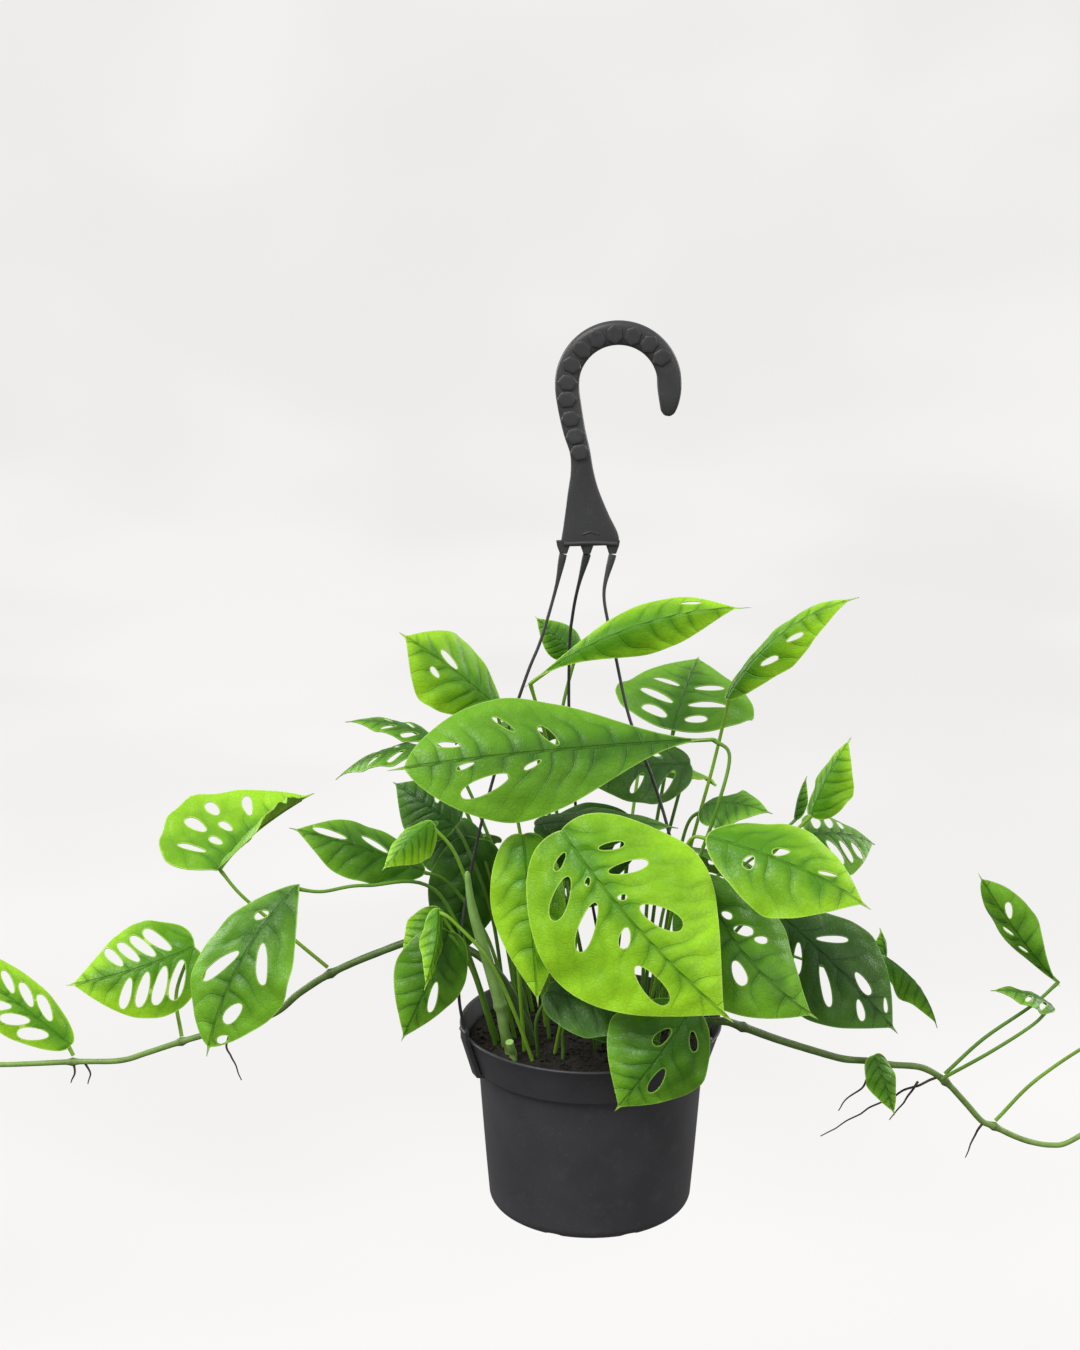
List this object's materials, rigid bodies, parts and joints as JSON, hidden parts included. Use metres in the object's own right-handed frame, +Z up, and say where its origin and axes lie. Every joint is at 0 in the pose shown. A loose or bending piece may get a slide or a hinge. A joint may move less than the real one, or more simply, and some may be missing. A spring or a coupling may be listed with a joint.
{
  "type": "potted hanging plant",
  "caption": "Swiss cheese vine with holed leaves and trailing stems, growing in soil in a round nursery pot that hangs from a moulded plastic hook.",
  "frame": {"origin": "the inner crown of the hook, where the bar or nail that holds the pot touches it", "axes": "+Z up, +X to the right along the spread of the two vines, +Y away from the viewer of the picture"},
  "size_m": [0.7653, 0.2445, 0.511],
  "materials": {
    "pot_plastic": "matt moulded plastic, dark grey",
    "peat": "rough moist peat mix, nearly black",
    "leaf_bright": "waxy young leaf, satin",
    "leaf_green": "waxy leaf, satin",
    "leaf_dark": "waxy mature leaf, satin",
    "vine": "smooth green stem with brown aerial roots",
    "young_stem": "smooth pale green stem"
  },
  "bodies": {
    "root": {"hanger_hook": "pot_plastic", "leaf_back_high": "leaf_green", "leaf_back_left": "leaf_green", "leaf_back_low": "leaf_dark", "leaf_back_middle": "leaf_bright", "leaf_back_right": "leaf_green", "leaf_centre_dark_lower": "leaf_dark", "leaf_centre_dark_upper": "leaf_dark", "leaf_edge_lower": "leaf_green", "leaf_edge_upper": "leaf_green", "leaf_front_big": "leaf_bright", "leaf_front_left": "leaf_bright", "leaf_inner_arc": "leaf_dark", "leaf_inner_centre": "leaf_dark", "leaf_inner_left": "leaf_dark", "leaf_left_dark": "leaf_dark", "leaf_left_folded": "leaf_bright", "leaf_left_low_dark": "leaf_dark", "leaf_left_middle": "leaf_green", "leaf_lower_left": "leaf_green", "leaf_lower_left_curl": "leaf_bright", "leaf_lower_left_pale": "leaf_bright", "leaf_over_rim": "leaf_green", "leaf_right_behind": "leaf_green", "leaf_right_bright": "leaf_bright", "leaf_right_curl": "leaf_green", "leaf_right_curl_small": "leaf_green", "leaf_right_edge": "leaf_green", "leaf_right_front": "leaf_green", "leaf_right_slits": "leaf_dark", "leaf_right_up": "leaf_bright", "leaf_right_young": "leaf_green", "leaf_small_top": "leaf_green", "leaf_top": "leaf_bright", "leaf_top_behind": "leaf_green", "leaf_top_left": "leaf_green", "leaf_top_right": "leaf_bright", "leaf_under_front": "leaf_dark", "leaf_under_front_low": "leaf_dark", "leaf_upper_left": "leaf_bright", "leaf_vine_left_arch": "leaf_bright", "leaf_vine_left_droop": "leaf_green", "leaf_vine_left_end": "leaf_bright", "leaf_vine_left_lace": "leaf_bright", "leaf_vine_left_young": "leaf_bright", "leaf_vine_right_edge": "leaf_green", "leaf_vine_right_end": "leaf_bright", "leaf_vine_right_small": "leaf_green", "leaf_vine_right_up": "leaf_green", "leaf_vine_right_young": "leaf_bright", "pot": "pot_plastic", "soil": "peat", "stem_front": "young_stem", "stem_left": "vine", "stem_right": "vine", "stem_stub": "young_stem", "strand_back": "pot_plastic", "strand_left": "pot_plastic", "strand_right": "pot_plastic"}
  },
  "joints": []
}
